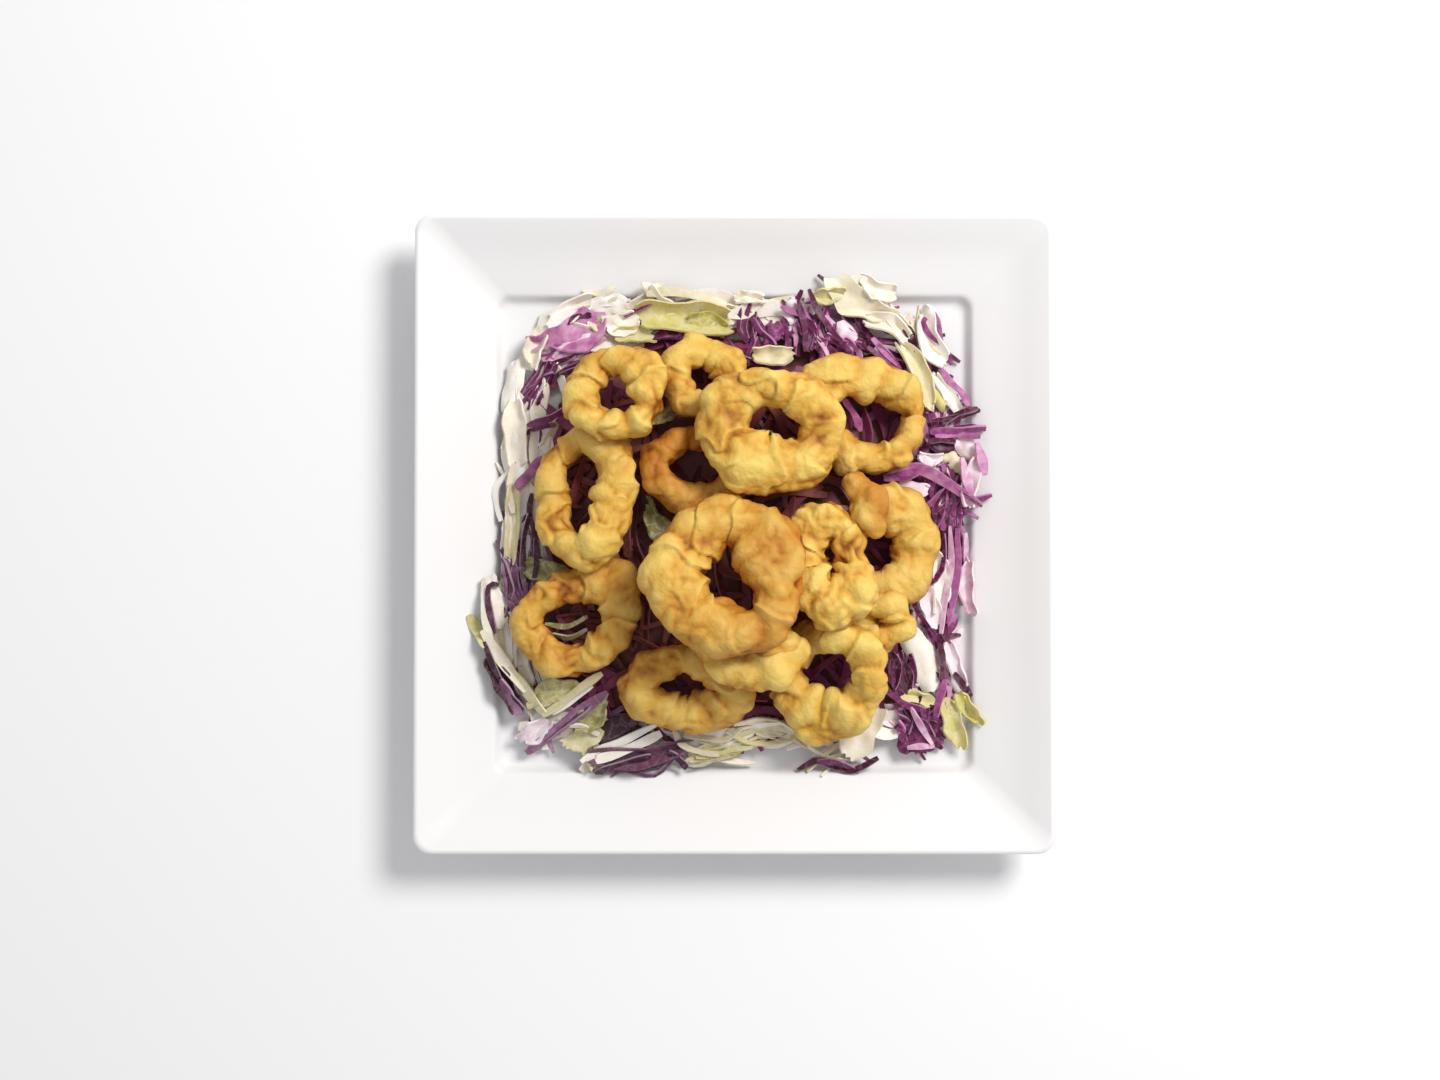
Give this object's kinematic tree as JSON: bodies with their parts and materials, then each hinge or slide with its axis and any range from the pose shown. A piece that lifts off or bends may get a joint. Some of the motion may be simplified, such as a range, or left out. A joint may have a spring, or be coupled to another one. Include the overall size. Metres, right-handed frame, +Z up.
{
  "type": "fried calamari",
  "caption": "Battered fried squid rings heaped on shredded purple and white cabbage, on a square white porcelain plate with a sloping rim.",
  "frame": {"origin": "middle of the plate's foot, on the table", "axes": "+Z up; +X to the right and +Y to the back, along the plate's sides"},
  "size_m": [0.2532, 0.2532, 0.07],
  "materials": {
    "porcelain": "white porcelain under a clear gloss glaze",
    "cabbage": "shredded raw cabbage, purple with white and pale green",
    "batter": "golden fried batter, lumpy, with a faint sheen of oil"
  },
  "bodies": {
    "root": {"plate": "porcelain", "cabbage_bed": "cabbage", "ring_inner": "batter", "ring_back_small": "batter", "ring_back_right": "batter", "ring_right": "batter", "ring_right_small": "batter", "ring_front_right": "batter", "ring_front_middle": "batter", "ring_front_left": "batter", "ring_under_crown": "batter", "ring_left": "batter", "strip_right": "batter", "ring_knobbly": "batter", "ring_back_middle": "batter", "ring_back_left": "batter", "ring_crown": "batter"}
  },
  "joints": []
}
